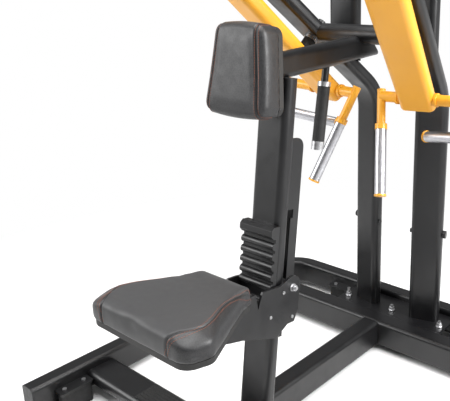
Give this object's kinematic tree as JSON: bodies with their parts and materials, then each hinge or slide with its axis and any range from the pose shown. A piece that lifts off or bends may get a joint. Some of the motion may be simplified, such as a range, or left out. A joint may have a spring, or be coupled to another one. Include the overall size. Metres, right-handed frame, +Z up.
{
  "type": "plate-loaded seated row machine",
  "caption": "Plate-loaded seated row machine with a chest pad, height-adjustable seat and independent overhead-pivoted arms with multi-position handles.",
  "frame": {"origin": "on the floor, at the centre of the rectangle the base covers", "axes": "+Z up; +Y the way the seated user faces, from the seat towards the column; +X the user's right"},
  "size_m": [1.5928, 1.334, 1.6904],
  "materials": {
    "frame_paint": "satin black powder coat",
    "arm_paint": "gloss amber yellow powder coat",
    "grip_metal": "bright satin",
    "rubber": "matte moulded",
    "zinc_hardware": "zinc plated",
    "bright_steel": "polished chrome",
    "upholstery": "pebbled black synthetic leather",
    "pad_board": "black painted plywood",
    "black_plastic": "moulded",
    "counterweight_iron": "black painted"
  },
  "bodies": {
    "frame": {"base_bolts": "zinc_hardware", "black_bolt_heads": "frame_paint", "bumper_collars": "zinc_hardware", "bumpers": "rubber", "centre_grip_collars": "zinc_hardware", "centre_grip_sleeve": "rubber", "centre_grip_stem": "frame_paint", "chest_beam": "frame_paint", "chest_board": "pad_board", "chest_bracket": "frame_paint", "chest_cushion": "upholstery", "column": "frame_paint", "column_foot_plate": "frame_paint", "cross_tube": "frame_paint", "foot_plates": "frame_paint", "foot_treads": "rubber", "frame_screws": "zinc_hardware", "front_crossbeam": "frame_paint", "front_link": "frame_paint", "left_brace": "frame_paint", "left_pivot_bracket": "frame_paint", "left_post": "frame_paint", "left_rail": "frame_paint", "left_upright": "frame_paint", "mid_crossbeam": "frame_paint", "pivot_shafts": "zinc_hardware", "post_tie": "frame_paint", "rail_caps": "black_plastic", "rear_guide": "frame_paint", "rear_rail": "frame_paint", "right_brace": "frame_paint", "right_pivot_bracket": "frame_paint", "right_post": "frame_paint", "right_rail": "frame_paint", "right_upright": "frame_paint", "rubber_feet": "rubber", "seat_rack": "frame_paint", "spine": "frame_paint", "upright_base_plate": "frame_paint"},
    "left_arm_assembly": {"left_arm": "arm_paint", "left_bearings": "bright_steel", "left_handle": "arm_paint", "left_grips": "grip_metal", "left_grip_rings": "arm_paint", "left_weight_lever": "frame_paint", "left_weight_horn": "bright_steel", "left_counterweight": "counterweight_iron"},
    "right_arm_assembly": {"right_arm": "arm_paint", "right_bearings": "bright_steel", "right_handle": "arm_paint", "right_grips": "grip_metal", "right_grip_rings": "arm_paint", "right_weight_lever": "frame_paint", "right_weight_horn": "bright_steel", "right_counterweight": "counterweight_iron"},
    "seat_assembly": {"seat_carriage": "frame_paint", "carriage_fasteners": "zinc_hardware", "carriage_rollers": "black_plastic", "seat_board": "pad_board", "seat_cushion": "upholstery"}
  },
  "joints": [
    {"name": "left_arm_swing", "type": "hinge", "parent": "frame", "child": "left_arm_assembly", "pos_m": [-0.3467, -0.27421, 1.6], "axis": [-0.9659, 0.2588, 0], "range_deg": [0, 40]},
    {"name": "right_arm_swing", "type": "hinge", "parent": "frame", "child": "right_arm_assembly", "pos_m": [0.3467, -0.27421, 1.6], "axis": [-0.9659, -0.2588, 0], "range_deg": [0, 40]},
    {"name": "seat_height", "type": "slide", "parent": "frame", "child": "seat_assembly", "axis": [0, 0.1468, 0.9892], "range_m": [0, 0.153]}
  ]
}
